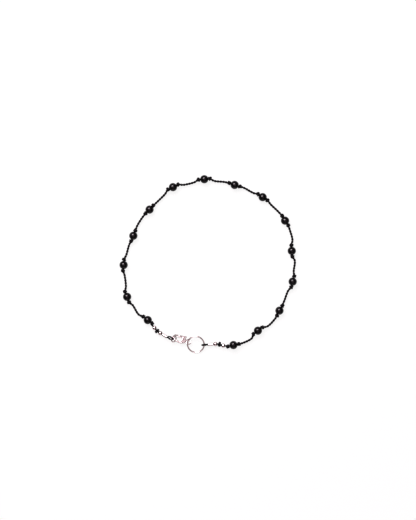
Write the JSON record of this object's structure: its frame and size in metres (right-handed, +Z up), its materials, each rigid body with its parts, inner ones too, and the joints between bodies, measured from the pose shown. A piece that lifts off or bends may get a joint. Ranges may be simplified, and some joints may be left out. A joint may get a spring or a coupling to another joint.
{
  "type": "anklet",
  "caption": "Anklet of round black stone beads knotted along a twisted black cord, with silver end beads, a lobster clasp and a large end ring, lying as a loop.",
  "frame": {"origin": "middle of the loop's bounding box, on the surface that the anklet lies on", "axes": "+Z up, away from the surface; the clasp and the end ring lie on the -Y side of the loop, the ring towards +X of the clasp"},
  "size_m": [0.0885, 0.0889, 0.0046],
  "materials": {
    "black_cord": "black twisted two-ply cord, softly matt, with a slight waxy sheen",
    "black_stone": "polished black onyx, glossy",
    "silver": "polished sterling silver, bright"
  },
  "bodies": {
    "loop": {"cord": "black_cord", "bead_01": "black_stone", "bead_02": "black_stone", "bead_03": "black_stone", "bead_04": "black_stone", "bead_05": "black_stone", "bead_06": "black_stone", "bead_07": "black_stone", "bead_08": "black_stone", "bead_09": "black_stone", "bead_10": "black_stone", "bead_11": "black_stone", "bead_12": "black_stone", "bead_13": "black_stone", "bead_14": "black_stone", "bead_15": "black_stone", "silver_bead_1": "silver", "silver_bead_2": "silver", "silver_bead_3": "silver", "silver_bead_4": "silver", "silver_tube_right": "silver", "silver_tube_left": "silver", "large_ring": "silver", "small_ring": "silver", "clasp_body": "silver", "clasp_pin": "silver"},
    "lever": {"clasp_lever": "silver"}
  },
  "joints": [
    {"name": "lever_hinge", "type": "hinge", "parent": "loop", "child": "lever", "pos_m": [-0.01209, -0.03668, 0.00091], "axis": [0.1291, 0.3857, 0.9135], "range_deg": [0, 20], "stiffness_Nm_per_rad": 0.002, "springref_deg": -11.46}
  ]
}
